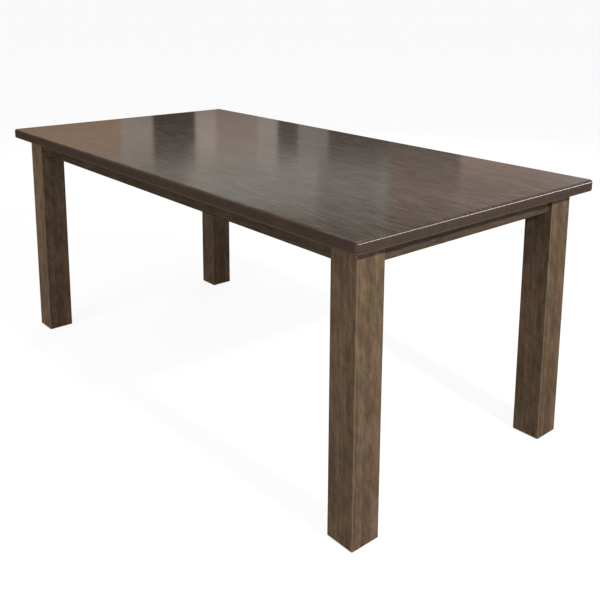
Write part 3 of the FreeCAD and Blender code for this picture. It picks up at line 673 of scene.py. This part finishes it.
# Where each flat starts round the ring, in degrees from +X towards +Y, and its tone
FLATS = ((0, "#C8BAAE"), (60, "#C0B0A6"), (103, "#BAA298"), (114.5, "#645C56"), (125, "#49423A"),
         (133, "#9C928D"), (137.5, "#544D49"), (140.5, "#C2B7AE"), (143, "#B6A298"), (149, "#D0C0B3"),
         (151.5, "#46403B"), (157, "#BCAEA5"), (161, "#BC9B82"), (180, "#7A6E64"), (200, "#2E2A27"),
         (290, "#6E665F"), (325, "#B8AAA0"))
UPPER_FLATS = ((0, "#B4AAA2"), (100, "#AE988E"), (115, "#9C897E"), (125, "#ACAAA4"), (126.5, "#A29C96"),
               (134, "#C2BCB5"), (152, "#A49D96"), (180, "#7A746E"), (220, "#4A4642"), (320, "#A8A09A"))
CEILING_TONE = "#55524E"
CARD_TONE = "#3A342F"
# Heights between which the flats fade in over the card's tone, the upper row over them and then the ceiling
FLATS_FROM, FLATS_FULL = 0.75, 1.2
UPPER_FROM, UPPER_FULL = 1.2, 1.48
CEILING_FROM, CEILING_FULL = 1.6, 1.92
CARD_LIFT = 0.002
ring_mesh = bmesh.new()
bmesh.ops.create_cone(ring_mesh, cap_ends=False, segments=FLAT_STEPS, radius1=FLAT_RADIUS,
                      radius2=FLAT_RADIUS, depth=FLAT_HEIGHT,
                      matrix=Matrix.Translation((0, 0, FLAT_HEIGHT / 2)))
bmesh.ops.create_circle(ring_mesh, cap_ends=True, segments=FLAT_STEPS, radius=FLAT_RADIUS,
                        matrix=Matrix.Translation((0, 0, CARD_LIFT)))
ring_data = bpy.data.meshes.new("grey_flats")
ring_mesh.to_mesh(ring_data)
ring_mesh.free()
ring_object = bpy.data.objects.new("grey_flats", ring_data)
bpy.context.scene.collection.objects.link(ring_object)
for ray in ("camera", "diffuse", "transmission", "shadow", "volume_scatter"):
    setattr(ring_object, f"visible_{ray}", False)
card, tree = new_material("painted_flats")
place = add(tree, "TexCoord").outputs["Object"]
swung = add(tree, "Mapping", {}, {"Vector": place, "Rotation": (0, 0, radians(180))}).outputs[0]
round_place = add(tree, "TexGradient", {"gradient_type": "RADIAL"}, {"Vector": swung}).outputs["Fac"]
rows = []
for panels in (FLATS, UPPER_FLATS):
    tones = add(tree, "ValToRGB", {}, {"Fac": round_place})
    tones.color_ramp.interpolation = "CONSTANT"
    for number, (angle, code) in enumerate(panels):
        stops = tones.color_ramp.elements
        stop = stops[number] if number < 2 else stops.new(1.0)
        stop.position = angle / 360
        stop.color = linear(code)
    rows.append(tones.outputs[0])
height = add(tree, "SeparateXYZ", inputs={"Vector": place}).outputs["Z"]
painted = tinted(tree, height, FLATS_FROM, FLATS_FULL, 1.0, linear(CARD_TONE), rows[0])
painted = tinted(tree, height, UPPER_FROM, UPPER_FULL, 1.0, painted, rows[1])
painted = tinted(tree, height, CEILING_FROM, CEILING_FULL, 1.0, painted, linear(CEILING_TONE))
glow = add(tree, "Emission", {}, {"Color": painted, "Strength": 1.0}).outputs[0]
add(tree, "OutputMaterial", {}, {"Surface": glow})
ring_data.materials.append(card)


# Lamps: a soft box high on the right, a wide weak one low in front, another high in front and one behind.
# They give light only, and the lacquer shows the flats. A long strip beside the table end is the other way
# round: it shows only in the lacquer and draws a bright line along the rim.
def soft_box(name, place, aim, size, power):
    """Rectangular lamp that shines from its place towards its aim and shows in nothing."""
    lamp = bpy.data.lights.new(name, "AREA")
    lamp.shape = "RECTANGLE"
    lamp.size, lamp.size_y = size
    lamp.energy = power
    box = bpy.data.objects.new(name, lamp)
    box.location = place
    box.rotation_euler = (Vector(aim) - Vector(place)).to_track_quat("-Z", "Y").to_euler()
    box.visible_camera = False
    box.visible_glossy = False
    bpy.context.scene.collection.objects.link(box)
    return box


soft_box("key_box", place=(4.2, -0.2, 2.9), aim=(0.4, 0.0, 0.5), size=(0.28, 0.28), power=138.0)
soft_box("front_box", place=(0.1, -4.4, 1.7), aim=(0.0, 0.0, 0.5), size=(2.4, 1.4), power=54.0)
soft_box("high_box", place=(0.2, -2.6, 3.4), aim=(0.0, -0.4, 0.5), size=(1.2, 1.2), power=10.0)
soft_box("back_box", place=(-3.2, 3.2, 1.8), aim=(0.0, 0.0, 0.5), size=(2.4, 1.4), power=30.0)
strip = soft_box("rim_strip", place=(1.065, 0.075, 0.74), aim=(0.9, 0.075, 0.74), size=(1.35, 0.038),
                 power=2.1)
strip.visible_diffuse = False
strip.visible_glossy = True

# Camera: at chest height off one corner of the table, looking a little down. The lens is shifted as a view
# camera's is, so that the legs stay nearly upright. Focal length and shift are in the picture's pixels.
PICTURE = 600
FOCAL = 802.8
SHIFT_LEFT, SHIFT_DOWN = 25.0, 150.0
SENSOR = 36.0
PAN, TILT, ROLL = radians(48.166), radians(10.692), radians(-0.626)
EYE = (2.0368, -1.5527, 1.2485)
lens = bpy.data.cameras.new("camera")
lens.sensor_width = SENSOR
lens.lens = FOCAL / PICTURE * SENSOR
lens.shift_x = -SHIFT_LEFT / PICTURE
lens.shift_y = -SHIFT_DOWN / PICTURE
camera = bpy.data.objects.new("camera", lens)
level_aim = Matrix.Rotation(PAN, 4, "Z") @ Matrix.Rotation(radians(90) - TILT, 4, "X")
camera.matrix_world = Matrix.Translation(EYE) @ level_aim @ Matrix.Rotation(-ROLL, 4, "Z")
bpy.context.scene.collection.objects.link(camera)
bpy.context.scene.camera = camera
bpy.context.scene.view_settings.view_transform = "Standard"
